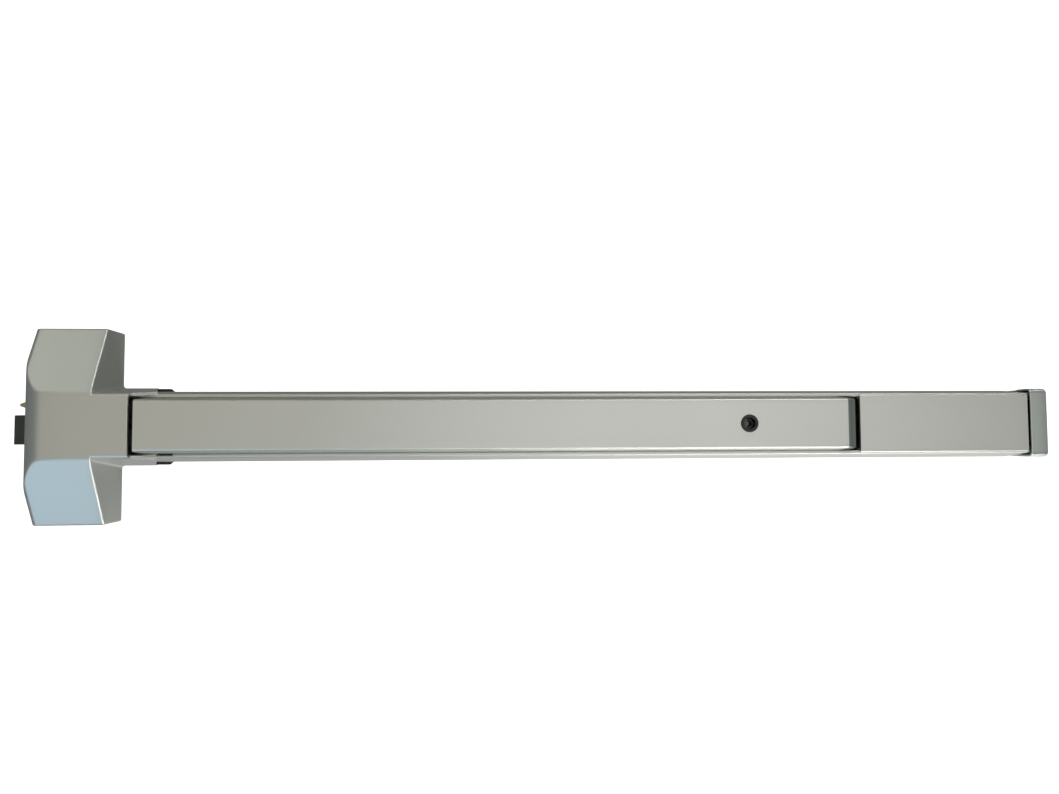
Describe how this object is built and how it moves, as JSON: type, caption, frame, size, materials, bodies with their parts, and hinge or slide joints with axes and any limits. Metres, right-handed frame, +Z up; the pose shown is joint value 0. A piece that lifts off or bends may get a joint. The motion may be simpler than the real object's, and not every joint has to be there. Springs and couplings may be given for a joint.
{
  "type": "panic exit bar",
  "caption": "Surface-mounted push-bar exit device: a sprung bar in a long rail draws a latch back into a winged head, with a hexagon-key screw that locks the bar in.",
  "frame": {"origin": "middle of the head's four mounting holes, on the door's face", "axes": "+X from the latch towards the end cap, +Y into the door, +Z up the door"},
  "size_m": [0.8651, 0.0649, 0.16],
  "materials": {
    "satin_aluminium": "satin silver",
    "cast_grey": "satin silver-grey paint",
    "black_steel": "black satin",
    "black_plastic": "matte black",
    "zinc_steel": "bright zinc plating",
    "dark_nickel": "dark nickel plating",
    "tan_steel": "dull yellow plating",
    "spring_steel": "oiled spring steel"
  },
  "bodies": {
    "frame": {"chassis_plate": "black_steel", "head_cover": "cast_grey", "head_cover_screws": "zinc_steel", "rail": "satin_aluminium", "rail_screws": "zinc_steel", "filler_cover": "satin_aluminium", "end_bracket": "black_steel", "end_cap": "cast_grey", "end_cap_screw": "zinc_steel", "crank_bracket_head": "zinc_steel", "crank_bracket_far": "zinc_steel", "pivot_pins": "zinc_steel", "drawbar_guides": "zinc_steel", "rail_rivets": "zinc_steel", "return_spring": "spring_steel", "return_spring_post": "zinc_steel", "latch_housing": "dark_nickel", "latch_spring": "spring_steel", "deadlatch_spring": "spring_steel", "spring_stop": "zinc_steel", "dog_keeper": "zinc_steel"},
    "push_bar": {"push_bar": "satin_aluminium", "push_bar_head_plug": "black_plastic", "push_bar_end_plug": "cast_grey", "push_carrier_head": "zinc_steel", "push_carrier_far": "zinc_steel", "push_bar_rivets": "zinc_steel", "bar_glide": "black_plastic", "dog_grommet": "black_plastic", "dog_bracket": "zinc_steel"},
    "crank_head": {"crank_head": "dark_nickel", "crank_head_pins": "zinc_steel"},
    "crank_far": {"crank_far": "dark_nickel", "crank_far_pins": "zinc_steel"},
    "drawbar": {"drawbar": "zinc_steel"},
    "latch": {"latch_bolt": "dark_nickel", "latch_link_pin": "zinc_steel"},
    "deadlatch": {"deadlatch": "tan_steel"},
    "dogging_spindle": {"dog_spindle": "dark_nickel", "dog_retaining_ring": "spring_steel"}
  },
  "joints": [
    {"name": "push_bar_slide", "type": "slide", "parent": "frame", "child": "push_bar", "axis": [0, 1, 0], "range_m": [0, 0.014], "stiffness_N_per_m": 2500, "springref_m": -0.012},
    {"name": "crank_head_turn", "type": "hinge", "parent": "frame", "child": "crank_head", "pos_m": [0.125, -0.038, 0], "axis": [0, 0, -1], "range_deg": [0, 43.8]},
    {"name": "crank_far_turn", "type": "hinge", "parent": "frame", "child": "crank_far", "pos_m": [0.603, -0.038, 0], "axis": [0, 0, -1], "range_deg": [0, 43.8]},
    {"name": "drawbar_slide", "type": "slide", "parent": "frame", "child": "drawbar", "axis": [1, 0, 0], "range_m": [0, 0.019], "deforming": ["return_spring"]},
    {"name": "latch_slide", "type": "slide", "parent": "frame", "child": "latch", "axis": [1, 0, 0], "range_m": [0, 0.019], "deforming": ["latch_spring"]},
    {"name": "deadlatch_slide", "type": "slide", "parent": "frame", "child": "deadlatch", "axis": [1, 0, 0], "range_m": [0, 0.012], "stiffness_N_per_m": 300, "springref_m": -0.008, "deforming": ["deadlatch_spring"]},
    {"name": "dog_turn", "type": "hinge", "parent": "push_bar", "child": "dogging_spindle", "pos_m": [0.552, -0.05, 0], "axis": [0, 1, 0], "range_deg": [0, 90]}
  ],
  "couplings": [
    {"joint": "crank_head_turn", "follows": "push_bar_slide", "rad_per_m": 54.536},
    {"joint": "crank_far_turn", "follows": "push_bar_slide", "rad_per_m": 54.536},
    {"joint": "drawbar_slide", "follows": "push_bar_slide", "ratio": 1.3571},
    {"joint": "latch_slide", "follows": "push_bar_slide", "ratio": 1.3571}
  ]
}
